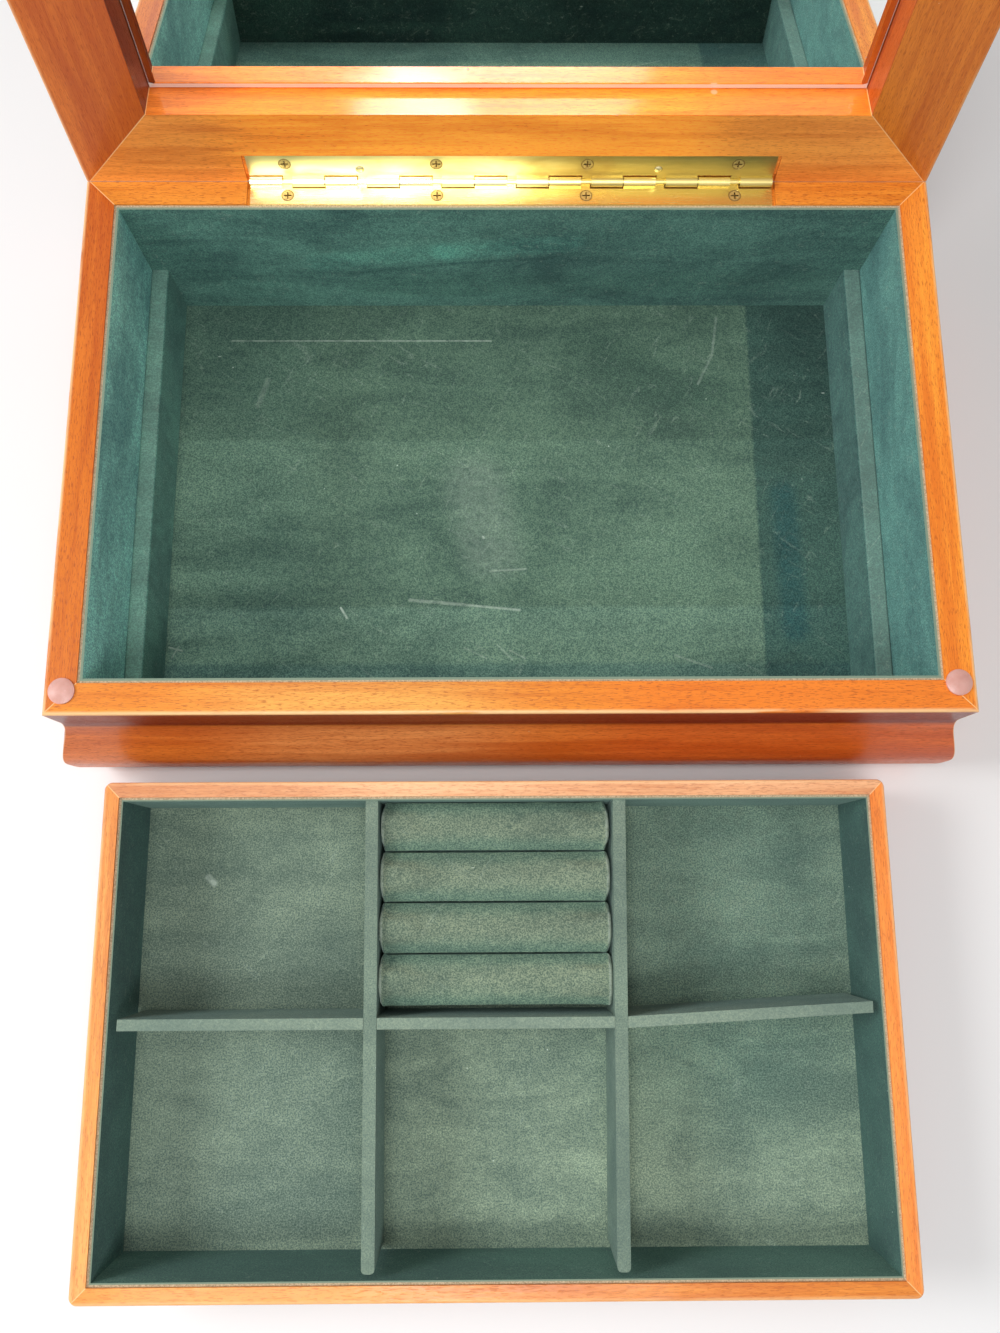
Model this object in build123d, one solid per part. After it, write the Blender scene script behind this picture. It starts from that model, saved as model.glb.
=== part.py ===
from build123d import *
import math
import os

# A hardwood jewelry box, open as it stands on a table: a case with a flared base moulding, a lid on
# a brass piano hinge with a recessed mirror, and a lift-out tray standing in front of the case.
# Millimetres. Origin on the table under the centre of the case, X to the right, Y to the back, Z up.

# Case
RIM_W = 283.0            # over the rim, left to right
RIM_D = 182.4            # over the rim, front to back
WALL = 9.8               # wall thickness at the rim
INNER_DEPTH = 60.2       # from the rim down to the lining floor
FLOOR_CARD = 1.8         # lined card on the bottom board
BOARD_T = 6.4            # bottom board
BASE_FELT = 1.6          # felt under the case
BOARD_REBATE = 5.0       # how far the bottom board goes into each wall
BOARD_PLAY = 0.2         # gap round the bottom board
FELT_INSET = 2.0         # felt edge behind the foot of the moulding
RIM_ARRIS = 0.9          # rounding of the outer rim edge

# Flared base moulding
FASCIA_H = 14.5          # plain upright band under the rim
OGEE_H = 31.5            # height of the ogee
FLARE = 9.3              # how far the base stands out past the rim
BULL_H = 18.0            # height above the table where the foot starts to round in
BULL_IN = 5.0            # how far the foot rounds in

# Case lining and tray ledges
CARD = 1.5               # lined wall card
CARD_DROP = 0.6          # card edge below the rim
LEDGE_T = 6.1            # ledge thickness
LEDGE_DROP = 35.9        # ledge top below the rim
LEDGE_ROUND = 0.9        # rounding of the ledge's top edges

# Bumpers on the front corners of the rim, stuck on by hand
BUMPER_DIA = 8.0
BUMPER_H = 1.5           # height above the rim
BUMPER_SIDE_H = 0.6      # straight side below the dome
BUMPER_FROM_SIDE = 5.6
BUMPER_LEFT_FROM_FRONT = 7.3
BUMPER_RIGHT_FROM_FRONT = 9.0

# Lid
LID_OPEN = 99.7          # opening angle, degrees
LID_GAP = 0.6            # between rim and lid face at the hinge
LID_FRAME = 27.5         # width of rails and stiles
LID_T = 21.5             # thickness of rails and stiles
LID_FASCIA = 11.5        # upright band of the lid's edge
LID_QUIRK = 0.9          # small step above that band
LID_OVOLO = 9.0          # width of the round above the step
LID_REBATE = 5.0         # rebate behind the frame's inner edge
MIRROR_RECESS = 10.5     # mirror face behind the lid's inner face
MIRROR_T = 3.0
MIRROR_BEVEL_W = 2.6     # ground edge of the mirror, across
MIRROR_BEVEL_T = 0.9     # ground edge of the mirror, deep
MIRROR_PLAY = 0.3        # gap round the mirror
BACKING_T = 2.4          # board behind the mirror
PANEL_PLAY = 0.2         # gap round the backing and the panel
PANEL_RAISE = 1.2        # field of the top panel above the frame
PANEL_BEVEL = 14.0       # width of the slope up to that field

# Hinge
HINGE_L = 175.0
HINGE_OFF_CENTRE = 1.1   # where the hinge was let in, right of the middle
KNUCKLE_COUNT = 14
BARREL_R = 2.0
PIN_R = 1.0
PIN_PLAY = 0.05
LEAF_T = 0.9
LID_LEAF_W = 10.3        # from the pin to the edge of the lid's leaf
HINGE_SETBACK = 1.4      # pin in front of the case's back face
WIDE_GAP = 3.4           # every second joint between knuckles
TIGHT_GAP = 0.3          # the joints between those
LEAF_NOTCH = 0.4         # leaf edge clear of the other leaf's knuckles
BARREL_CLEAR = 0.4       # groove in the wood round the barrel
MORTISE_PLAY = 1.2       # mortise longer than the leaf, each end
STOP_GAP = 0.15          # between the two bevels that stop the lid

# Screws and brads
SCREW_PITCH = 50.0
SCREW_COUNT = 4
SCREW_HEAD_R = 2.1
SCREW_SHANK_R = 1.1
SCREW_L = 8.0
SCREW_CONE = 41.0        # half angle of the countersink, degrees
SCREW_PLAY = 0.05
CASE_SCREW_Y = 5.0       # from the pin to the case's screws
LID_SCREW_Y = 7.0        # from the pin to the lid's screws
RECESS_L = 2.6           # cross recess in the head
RECESS_W = 0.5
RECESS_DEEP = 0.7
BRAD_HEAD_R = 1.4
BRAD_HEAD_H = 0.4
BRAD_SHANK_R = 0.6
BRAD_L = 6.0
BRAD_LEFT = 50.4         # from the hinge's middle
BRAD_RIGHT = 48.7
BRAD_Y = 4.9             # from the pin

# Tray
TRAY_PLAY_X = 1.2        # each side, inside the case lining
TRAY_PLAY_Y = 1.4
TRAY_BELOW_RIM = 1.9     # top of the seated tray below the rim
TRAY_WALL = 5.0
TRAY_CORNER = 2.6        # rounding of the upright corners
TRAY_ARRIS = 0.7         # rounding of the top outer edge
TRAY_BOARD = 2.8
TRAY_REBATE = 2.5
TRAY_CARD = 1.2          # lined card on walls and floor
TRAY_CARD_DROP = 0.8
TRAY_STANDOFF = 7.3      # from the base moulding to the tray, standing in front
TRAY_OFF_CENTRE = -5.0   # where the tray was put down, left of the middle

# Dividers and ring rolls
DIVIDER_T = 4.1
CROSS_T = 3.5
DIVIDER_DROP = 1.5       # divider tops below the tray's rim
MIDDLE_CELL = 77.8       # clear width between the long dividers at the back
BACK_CELL = 68.8         # clear depth of the back compartments
DRAW_IN_LEFT = 1.5       # front end of the left divider nearer the middle
DRAW_IN_RIGHT = 2.5
DIVIDER_END_GAP = 1.5    # long dividers stop short of the front lining
CROSS_END_GAP = 2.5      # outer cross dividers stop short of the side lining
CROSS_SKEW = 4.2         # outer end of the right cross divider set back
DIVIDER_PLAY = 0.1       # where a cross divider meets a long one
ROLL_COUNT = 4
ROLL_SPARE = 2.8         # left over behind the cross divider
ROLL_GAP = 0.3           # between rolls
ROLL_H = 26.0
ROLL_CROWN = 4.0         # rise of the rounded top
ROLL_DRAWN = 0.5         # sides drawn in at the foot
ROLL_END = 1.6           # rounding of the ends
ROLL_PLAY = 0.5          # at each end of a roll

# Worked out
CASE_H = BASE_FELT + BOARD_T + FLOOR_CARD + INNER_DEPTH
BOARD_Z = BASE_FELT + BOARD_T
FLOOR_Z = BOARD_Z + FLOOR_CARD
WOOD_W = RIM_W - 2 * WALL
WOOD_D = RIM_D - 2 * WALL
CLEAR_W = WOOD_W - 2 * CARD
CLEAR_D = WOOD_D - 2 * CARD
FOOT_OUT = FLARE - BULL_IN
AXIS_Y = RIM_D / 2 - HINGE_SETBACK
AXIS_Z = CASE_H + LID_GAP / 2
LID_FACE = CASE_H + LID_GAP
CASE_LEAF_W = WALL - HINGE_SETBACK
BORE_R = PIN_R + PIN_PLAY
STOP_ANGLE = LID_OPEN / 2
MIRROR_W = RIM_W - 2 * LID_FRAME
MIRROR_D = RIM_D - 2 * LID_FRAME
LEDGE_Z = CASE_H - LEDGE_DROP
TRAY_W = CLEAR_W - 2 * TRAY_PLAY_X
TRAY_D = CLEAR_D - 2 * TRAY_PLAY_Y
TRAY_H = LEDGE_DROP - TRAY_BELOW_RIM
TRAY_Y = -(RIM_D / 2 + FLARE + TRAY_STANDOFF + TRAY_D / 2)
TRAY_FLOOR = TRAY_BOARD + TRAY_CARD
CELLS_W = TRAY_W - 2 * (TRAY_WALL + TRAY_CARD)
CELLS_D = TRAY_D - 2 * (TRAY_WALL + TRAY_CARD)
DIVIDER_TOP = TRAY_H - DIVIDER_DROP
CROSS_BACK = CELLS_D / 2 - BACK_CELL
DIVIDER_X = (MIDDLE_CELL + DIVIDER_T) / 2
FAR = 2 * RIM_W          # longer than anything that is cut

SIDES = {"front": (0, -1), "back": (0, 1), "left": (-1, 0), "right": (1, 0)}
nodes = {}


def block(x0, x1, y0, y1, z0, z1):
    """A box between two corners."""
    middle = Pos((x0 + x1) / 2, (y0 + y1) / 2, (z0 + z1) / 2)
    return middle * Box(x1 - x0, y1 - y0, z1 - z0)


def plate(width, depth, z0, z1):
    """A flat board, centred."""
    return block(-width / 2, width / 2, -depth / 2, depth / 2, z0, z1)


def upright(points, z0, z1):
    """An upright prism on a plan outline."""
    return Pos(0, 0, z0) * extrude(make_face(Polyline(*points, close=True)), z1 - z0, dir=(0, 0, 1))


def mitre_wedge(side, width, depth, inset):
    """The plan region of one side of a frame, bounded by the 45-degree lines at its corners."""
    nx, ny = SIDES[side]
    across = width / 2 if ny else depth / 2
    out = depth / 2 if ny else width / 2
    reach = 2 * FLARE

    def corner(end, outward):
        away, along = out + outward, end * (across + outward)
        return (nx * away - ny * along, ny * away + nx * along)

    outline = [corner(-1, reach), corner(1, reach), corner(1, -inset), corner(-1, -inset)]
    return upright(outline, -FAR / 2, FAR / 2)


def mitred_side(section, side, width, depth, inset):
    """Run a moulding section along one side. The section has outward along x and height along y."""
    nx, ny = SIDES[side]
    out = depth / 2 if ny else width / 2
    across = Vector(nx, ny, 0)
    run = across.cross(Vector(0, 0, 1))
    plane = Plane(origin=(nx * out, ny * out, 0), x_dir=across, z_dir=run)
    return extrude(plane * section, amount=FAR / 2, both=True) & mitre_wedge(side, width, depth, inset)


def at_hinge(shape):
    """Put a shape drawn round the pin in its place."""
    return Pos(HINGE_OFF_CENTRE, AXIS_Y, AXIS_Z) * shape


def open_lid(shape):
    """Turn a lid piece, drawn shut, to the angle at which the lid stands open."""
    return shape.rotate(Axis((0, AXIS_Y, AXIS_Z), (1, 0, 0)), -LID_OPEN)


# Case walls


def case_section():
    """Wall section: rim, fascia, ogee, upright band and rounded foot, with a rebate for the board."""
    ogee_top = CASE_H - FASCIA_H
    ogee_low = ogee_top - OGEE_H
    rim_arris = CenterArc((-RIM_ARRIS, CASE_H - RIM_ARRIS), RIM_ARRIS, 0, 90)
    ogee = Bezier((0, ogee_top), (0, ogee_top - OGEE_H / 3), (FLARE, ogee_low + OGEE_H / 3), (FLARE, ogee_low))
    foot = EllipticalCenterArc((FOOT_OUT, BULL_H), BULL_IN, BULL_H - BASE_FELT, -90, arc_size=90)
    inner = -WALL + BOARD_REBATE
    fascia = Line((0, CASE_H - RIM_ARRIS), (0, ogee_top))
    band = Line((FLARE, ogee_low), (FLARE, BULL_H))
    inside = Polyline((FOOT_OUT, BASE_FELT), (inner, BASE_FELT), (inner, BOARD_Z), (-WALL, BOARD_Z),
                      (-WALL, CASE_H), (-RIM_ARRIS, CASE_H))
    return make_face([rim_arris, fascia, ogee, band, foot, inside])


def stop_bevel(sign):
    """What is cut from the back top edge of the case (-1) or the back low edge of the lid (1)."""
    slope = Rot(sign * STOP_ANGLE, 0, 0) * Pos(0, 0, sign * STOP_GAP / 2)
    low, high = (0, 2 * WALL) if sign < 0 else (-2 * WALL, 0)
    return at_hinge(slope * block(-FAR / 2, FAR / 2, 0, 2 * WALL, low, high))


def barrel_groove():
    """Room in the wood for the hinge barrel."""
    return at_hinge(Rot(0, 90, 0) * Cylinder(BARREL_R + BARREL_CLEAR, HINGE_L + 2 * MORTISE_PLAY))


def leaf_mortise(sign, width):
    """Recess for a leaf, flush with the rim (-1) or the lid face (1)."""
    half = HINGE_L / 2 + MORTISE_PLAY
    deep = LID_GAP / 2 + LEAF_T
    low, high = (-deep, LID_GAP) if sign < 0 else (-LID_GAP, deep)
    return at_hinge(block(-half, half, -width, 0, low, high))


def row_places(count, pitch):
    """Places along X, centred."""
    return [(i - (count - 1) / 2) * pitch for i in range(count)]


def screw(clearance=0.0):
    """Countersunk screw, head face at z 0 and shank down, or the hole for it."""
    head, shank = SCREW_HEAD_R + clearance, SCREW_SHANK_R + clearance
    cone = (head - shank) / math.tan(math.radians(SCREW_CONE))
    profile = Polyline((0, 0), (head, 0), (shank, -cone), (shank, -SCREW_L - clearance),
                       (0, -SCREW_L - clearance), close=True)
    return revolve(Plane.XZ * make_face(profile), Axis.Z)


def slotted_screw():
    """Screw with a cross recess."""
    body = screw()
    for width, depth in ((RECESS_L, RECESS_W), (RECESS_W, RECESS_L)):
        body -= plate(width, depth, -RECESS_DEEP, RECESS_DEEP)
    return body


def cap_arc(radius, base, height):
    """Arc of a spherical cap, from its edge to its top on the axis."""
    sphere = (radius ** 2 + height ** 2) / (2 * height)
    half = math.asin(radius / sphere) / 2
    middle = (sphere * math.sin(half), base + height - sphere * (1 - math.cos(half)))
    return ThreePointArc((radius, base), middle, (0, base + height))


def brad():
    """Small brad with a domed head standing on the leaf, shank down."""
    dome = cap_arc(BRAD_HEAD_R, 0, BRAD_HEAD_H)
    rest = Polyline((0, BRAD_HEAD_H), (0, -BRAD_L), (BRAD_SHANK_R, -BRAD_L), (BRAD_SHANK_R, 0), (BRAD_HEAD_R, 0))
    return revolve(Plane.XZ * make_face([dome, rest]), Axis.Z)


def brad_hole():
    """Hole for a brad's shank, open at the leaf's face."""
    return Cylinder(BRAD_SHANK_R + SCREW_PLAY, 2 * (BRAD_L + SCREW_PLAY))


def place_fixings(shape, sign, from_pin, places):
    """Copies of a fixing on a leaf: heads up on the case (-1), heads down on the lid (1)."""
    turned = Rot(180, 0, 0) * shape if sign > 0 else shape
    return [at_hinge(Pos(x, -from_pin, sign * LID_GAP / 2) * turned) for x in places]


SCREW_PLACES = row_places(SCREW_COUNT, SCREW_PITCH)
BRAD_PLACES = (-BRAD_LEFT, BRAD_RIGHT)


def cut_all(shape, tools):
    """Take several tools from a shape."""
    for tool in tools:
        shape -= tool
    return shape


def make_case_walls():
    for side in SIDES:
        wall = mitred_side(case_section(), side, RIM_W, RIM_D, WALL + FLARE)
        if side != "front":
            wall -= stop_bevel(-1)
        if side == "back":
            holes = place_fixings(screw(SCREW_PLAY), -1, CASE_SCREW_Y, SCREW_PLACES)
            wall = cut_all(wall, [barrel_groove(), leaf_mortise(-1, CASE_LEAF_W)] + holes)
        nodes["case_wall_" + side] = wall


def make_case_bottom():
    rebate = 2 * (BOARD_REBATE - BOARD_PLAY)
    nodes["case_bottom_board"] = plate(WOOD_W + rebate, WOOD_D + rebate, BASE_FELT, BOARD_Z)
    foot = 2 * (FOOT_OUT - FELT_INSET)
    nodes["base_felt"] = plate(RIM_W + foot, RIM_D + foot, 0, BASE_FELT)


def line_box(prefix, width, depth, card, z0, z1):
    """Four upright cards inside a rectangle: front and back run through, the sides fit between."""
    w, d = width / 2, depth / 2
    nodes[prefix + "front"] = block(-w, w, -d, -d + card, z0, z1)
    nodes[prefix + "back"] = block(-w, w, d - card, d, z0, z1)
    nodes[prefix + "left"] = block(-w, -w + card, -d + card, d - card, z0, z1)
    nodes[prefix + "right"] = block(w - card, w, -d + card, d - card, z0, z1)


def make_case_lining():
    nodes["lining_floor"] = plate(WOOD_W, WOOD_D, BOARD_Z, FLOOR_Z)
    line_box("lining_", WOOD_W, WOOD_D, CARD, FLOOR_Z, CASE_H - CARD_DROP)


def make_ledges():
    for name, sign in (("left", -1), ("right", 1)):
        outer, inner = sign * CLEAR_W / 2, sign * (CLEAR_W / 2 - LEDGE_T)
        ledge = block(min(outer, inner), max(outer, inner), -CLEAR_D / 2, CLEAR_D / 2, FLOOR_Z, LEDGE_Z)
        top = ledge.faces().sort_by(Axis.Z)[-1].edges().filter_by(Axis.Y)
        nodes["tray_ledge_" + name] = fillet(top, LEDGE_ROUND)


def make_bumpers():
    """Clear soft domes, each on a flat foot."""
    r = BUMPER_DIA / 2
    crown = cap_arc(r, BUMPER_SIDE_H, BUMPER_H - BUMPER_SIDE_H)
    rest = Polyline((0, BUMPER_H), (0, 0), (r, 0), (r, BUMPER_SIDE_H))
    dome = revolve(Plane.XZ * make_face([crown, rest]), Axis.Z)
    for name, sign, from_front in (("left", -1, BUMPER_LEFT_FROM_FRONT), ("right", 1, BUMPER_RIGHT_FROM_FRONT)):
        place = Pos(sign * (RIM_W / 2 - BUMPER_FROM_SIDE), -RIM_D / 2 + from_front, CASE_H)
        nodes["bumper_" + name] = place * dome


# Hinge


def joint_gap(boundary):
    """Gap at a joint between knuckles: wide and tight by turns, none at the ends."""
    if boundary in (0, KNUCKLE_COUNT):
        return 0.0
    return WIDE_GAP if boundary % 2 else TIGHT_GAP


def hinge_leaf(sign, width, first):
    """Leaf with every second knuckle rolled round the pin: the case's (-1) or the lid's (1).
    In a wide joint both leaves run on flat, up to the pin and near the other's knuckle."""
    near, deep = sign * LID_GAP / 2, sign * (LID_GAP / 2 + LEAF_T)
    low, high = min(near, deep), max(near, deep)
    clear_of_barrel = BARREL_R + LEAF_NOTCH
    leaf = block(-HINGE_L / 2, HINGE_L / 2, -width, -clear_of_barrel, low, high)
    pitch = HINGE_L / KNUCKLE_COUNT
    for i in range(first, KNUCKLE_COUNT, 2):
        x0 = -HINGE_L / 2 + i * pitch + joint_gap(i) / 2
        x1 = -HINGE_L / 2 + (i + 1) * pitch - joint_gap(i + 1) / 2
        roll = Pos((x0 + x1) / 2, 0, 0) * Rot(0, 90, 0) * Cylinder(BARREL_R, x1 - x0)
        flat0, flat1 = (x0, x1 + WIDE_GAP - TIGHT_GAP) if sign < 0 else (x0 - WIDE_GAP + TIGHT_GAP, x1)
        leaf += roll + block(flat0, flat1, -clear_of_barrel, -BORE_R, low, high)
    return at_hinge(leaf - Rot(0, 90, 0) * Cylinder(BORE_R, FAR))


def make_hinge():
    case_leaf = hinge_leaf(-1, CASE_LEAF_W, 0)
    nodes["hinge_leaf_case"] = cut_all(
        case_leaf, place_fixings(screw(SCREW_PLAY), -1, CASE_SCREW_Y, SCREW_PLACES))
    lid_leaf = hinge_leaf(1, LID_LEAF_W, 1)
    lid_holes = place_fixings(screw(SCREW_PLAY), 1, LID_SCREW_Y, SCREW_PLACES)
    lid_holes += place_fixings(brad_hole(), 1, BRAD_Y, BRAD_PLACES)
    nodes["hinge_leaf_lid"] = open_lid(cut_all(lid_leaf, lid_holes))
    nodes["hinge_pin"] = at_hinge(Rot(0, 90, 0) * Cylinder(PIN_R, HINGE_L))
    nodes["hinge_screws_case"] = Compound(children=place_fixings(slotted_screw(), -1, CASE_SCREW_Y, SCREW_PLACES))
    lid_screws = place_fixings(slotted_screw(), 1, LID_SCREW_Y, SCREW_PLACES)
    nodes["hinge_screws_lid"] = Compound(children=[open_lid(s) for s in lid_screws])
    brads = place_fixings(brad(), 1, BRAD_Y, BRAD_PLACES)
    nodes["hinge_brads_lid"] = Compound(children=[open_lid(b) for b in brads])


# Lid


def lid_section():
    """Rail section: arris, fascia, quirk and ovolo outside, and a rebate behind the inner edge."""
    top = LID_FACE + LID_T
    band = LID_FACE + LID_FASCIA
    back = LID_FACE + MIRROR_RECESS + MIRROR_T
    low_arris = CenterArc((-RIM_ARRIS, LID_FACE + RIM_ARRIS), RIM_ARRIS, -90, 90)
    ovolo = EllipticalCenterArc((-LID_QUIRK - LID_OVOLO, band), LID_OVOLO, top - band, 0, arc_size=90)
    step = Polyline((0, LID_FACE + RIM_ARRIS), (0, band), (-LID_QUIRK, band))
    inside = Polyline((-LID_QUIRK - LID_OVOLO, top), (-LID_FRAME + LID_REBATE, top),
                      (-LID_FRAME + LID_REBATE, back), (-LID_FRAME, back), (-LID_FRAME, LID_FACE),
                      (-RIM_ARRIS, LID_FACE))
    return make_face([low_arris, step, ovolo, inside])


def make_lid_frame():
    names = {"front": "lid_rail_front", "back": "lid_rail_back", "left": "lid_stile_left", "right": "lid_stile_right"}
    for side, name in names.items():
        piece = mitred_side(lid_section(), side, RIM_W, RIM_D, LID_FRAME + FLARE)
        if side == "back":
            holes = place_fixings(screw(SCREW_PLAY), 1, LID_SCREW_Y, SCREW_PLACES)
            holes += place_fixings(brad_hole(), 1, BRAD_Y, BRAD_PLACES)
            piece = cut_all(piece, [barrel_groove(), leaf_mortise(1, LID_LEAF_W)] + holes)
        if side != "front":
            piece -= stop_bevel(1)
        nodes[name] = open_lid(piece)


def make_lid_filling():
    """Mirror with a ground edge, its backing board, and the raised top panel."""
    w, d = MIRROR_W - 2 * MIRROR_PLAY, MIRROR_D - 2 * MIRROR_PLAY
    face = LID_FACE + MIRROR_RECESS
    flat = Pos(0, 0, face) * Rectangle(w - 2 * MIRROR_BEVEL_W, d - 2 * MIRROR_BEVEL_W)
    edge = Pos(0, 0, face + MIRROR_BEVEL_T) * Rectangle(w, d)
    back = face + MIRROR_T
    nodes["mirror_glass"] = open_lid(loft([flat, edge], ruled=True) + plate(w, d, face + MIRROR_BEVEL_T, back))
    bw = MIRROR_W + 2 * (LID_REBATE - PANEL_PLAY)
    bd = MIRROR_D + 2 * (LID_REBATE - PANEL_PLAY)
    nodes["mirror_backing"] = open_lid(plate(bw, bd, back, back + BACKING_T))
    top = LID_FACE + LID_T
    foot = Pos(0, 0, top) * Rectangle(bw, bd)
    field = Pos(0, 0, top + PANEL_RAISE) * Rectangle(bw - 2 * PANEL_BEVEL, bd - 2 * PANEL_BEVEL)
    nodes["lid_panel"] = open_lid(plate(bw, bd, back + BACKING_T, top) + loft([foot, field], ruled=True))


# Tray


def make_tray_box():
    body = plate(TRAY_W, TRAY_D, 0, TRAY_H)
    body = fillet(body.edges().filter_by(Axis.Z), TRAY_CORNER)
    body = fillet(body.faces().sort_by(Axis.Z)[-1].edges(), TRAY_ARRIS)
    inner_w, inner_d = TRAY_W - 2 * TRAY_WALL, TRAY_D - 2 * TRAY_WALL
    body -= plate(inner_w, inner_d, -TRAY_H, 2 * TRAY_H)
    board_w, board_d = inner_w + 2 * TRAY_REBATE, inner_d + 2 * TRAY_REBATE
    body -= plate(board_w, board_d, -TRAY_H, TRAY_BOARD)
    for side in SIDES:
        nodes["tray_wall_" + side] = body & mitre_wedge(side, TRAY_W, TRAY_D, 2 * TRAY_WALL)
    nodes["tray_bottom"] = plate(board_w - 2 * BOARD_PLAY, board_d - 2 * BOARD_PLAY, 0, TRAY_BOARD)
    nodes["tray_floor"] = plate(inner_w, inner_d, TRAY_BOARD, TRAY_FLOOR)
    line_box("tray_lining_", inner_w, inner_d, TRAY_CARD, TRAY_FLOOR, TRAY_H - TRAY_CARD_DROP)


def divider_line(sign, y):
    """Middle of a long divider at a place along it: straight, its front end nearer the middle."""
    drawn = DRAW_IN_LEFT if sign < 0 else DRAW_IN_RIGHT
    forward = (CELLS_D / 2 - y) / CELLS_D
    return sign * (DIVIDER_X - drawn * forward)


def make_dividers():
    back, front = CELLS_D / 2, -CELLS_D / 2 + DIVIDER_END_GAP
    half = DIVIDER_T / 2
    for name, sign in (("left", -1), ("right", 1)):
        xb, xf = divider_line(sign, back), divider_line(sign, front)
        outline = [(xf - half, front), (xf + half, front), (xb + half, back), (xb - half, back)]
        divider = upright(outline, TRAY_FLOOR, DIVIDER_TOP)
        ends = divider.edges().filter_by(Axis.Z).group_by(Axis.Y)[0]
        nodes["tray_divider_" + name] = fillet(ends, DIVIDER_T / 3)


def make_cross_dividers():
    half = DIVIDER_T / 2 + DIVIDER_PLAY
    y0, y1 = CROSS_BACK - CROSS_T, CROSS_BACK
    side = CELLS_W / 2 - CROSS_END_GAP
    left = [(-side, y0), (divider_line(-1, y0) - half, y0), (divider_line(-1, y1) - half, y1), (-side, y1)]
    middle = [(divider_line(-1, y0) + half, y0), (divider_line(1, y0) - half, y0),
              (divider_line(1, y1) - half, y1), (divider_line(-1, y1) + half, y1)]
    right = [(divider_line(1, y0) + half, y0), (side, y0 + CROSS_SKEW), (side, y1 + CROSS_SKEW),
             (divider_line(1, y1) + half, y1)]
    for name, outline in (("left", left), ("middle", middle), ("right", right)):
        nodes["tray_cross_" + name] = upright(outline, TRAY_FLOOR, DIVIDER_TOP)


def make_ring_rolls():
    """Stuffed rolls side by side, rounded on top and at the ends, drawn in at the foot."""
    pitch = (BACK_CELL - ROLL_SPARE) / ROLL_COUNT
    half, foot = (pitch - ROLL_GAP) / 2, (pitch - ROLL_GAP) / 2 - ROLL_DRAWN
    shoulder = ROLL_H - ROLL_CROWN
    crown = ThreePointArc((half, shoulder), (0, ROLL_H), (-half, shoulder))
    sides = Polyline((-half, shoulder), (-foot, 0), (foot, 0), (half, shoulder))
    section = make_face([crown, sides])
    tight = CELLS_D / 2 - BACK_CELL
    left = divider_line(-1, tight) + DIVIDER_T / 2 + ROLL_PLAY
    right = divider_line(1, tight) - DIVIDER_T / 2 - ROLL_PLAY
    run = extrude(Plane.YZ * section, amount=(right - left) / 2, both=True)
    ends = run.faces().filter_by(Axis.X).edges()
    roll = fillet(ends, ROLL_END)
    for i in range(ROLL_COUNT):
        y = CELLS_D / 2 - (i + 0.5) * pitch
        nodes["ring_roll_%d" % (i + 1)] = Pos((left + right) / 2, y, TRAY_FLOOR) * roll


def make_tray():
    """The tray is drawn about its own middle, then stood in front of the case."""
    before = set(nodes)
    make_tray_box()
    make_dividers()
    make_cross_dividers()
    make_ring_rolls()
    for name in set(nodes) - before:
        nodes[name] = Pos(TRAY_OFF_CENTRE, TRAY_Y, 0) * nodes[name]


def write_parts():
    os.makedirs("parts", exist_ok=True)
    for name, shape in nodes.items():
        export_step(shape, os.path.join("parts", name + ".step"))


make_case_walls()
make_case_bottom()
make_case_lining()
make_ledges()
make_bumpers()
make_lid_frame()
make_lid_filling()
make_hinge()
make_tray()
write_parts()
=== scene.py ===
"""Looks of the jewelry box: lacquered wood, suede lining, brass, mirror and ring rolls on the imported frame.

Patterns are worked out in millimetres. The lid's patterns are laid out as if it were shut, and the
tray's about its own middle, so that each follows its own rails.
"""
import math

import bmesh
import bpy
import numpy as np
from mathutils import Euler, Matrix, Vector


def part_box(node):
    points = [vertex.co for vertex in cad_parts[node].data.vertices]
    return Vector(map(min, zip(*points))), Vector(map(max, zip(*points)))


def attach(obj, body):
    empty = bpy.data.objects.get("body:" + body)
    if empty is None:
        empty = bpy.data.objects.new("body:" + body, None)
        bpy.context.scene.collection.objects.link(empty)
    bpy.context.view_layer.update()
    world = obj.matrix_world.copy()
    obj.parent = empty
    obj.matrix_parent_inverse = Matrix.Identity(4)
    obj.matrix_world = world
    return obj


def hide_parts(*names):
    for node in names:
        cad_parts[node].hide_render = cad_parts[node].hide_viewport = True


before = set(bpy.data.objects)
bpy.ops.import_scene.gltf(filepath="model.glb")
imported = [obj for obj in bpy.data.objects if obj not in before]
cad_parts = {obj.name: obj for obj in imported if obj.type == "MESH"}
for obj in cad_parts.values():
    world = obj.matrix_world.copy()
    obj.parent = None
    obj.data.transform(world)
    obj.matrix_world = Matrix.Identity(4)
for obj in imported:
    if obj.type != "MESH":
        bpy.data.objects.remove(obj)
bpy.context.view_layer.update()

RIM_W, RIM_D, RIM_TOP = 283.0, 182.4, 70.0
CASE_WALL = 9.8
LID_FRAME = 27.5
MIRROR_HALF = (113.7, 63.4)
LID_OPEN = math.radians(99.7)
HINGE_AXIS = Vector((0, 0.0898, 0.0703))
TRAY_MIDDLE = (-5.0, -186.3)
TRAY_W, TRAY_D, TRAY_TOP = 258.0, 157.0, 34.0
SCREW_PITCH = 50.0
HINGE_OFF_CENTRE = 1.1
FIRST_SCREW = HINGE_OFF_CENTRE + SCREW_PITCH / 2
BRAD_LEFT, BRAD_PITCH = -50.4, 99.1
WORLD_LEVEL = 0.32


def screen(red, green, blue):
    """A colour read off a screen, 0 to 255, as linear light: ((c + 0.055) / 1.055) to the power 2.4."""
    return tuple(((c / 255 + 0.055) / 1.055) ** 2.4 for c in (red, green, blue)) + (1.0,)


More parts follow.
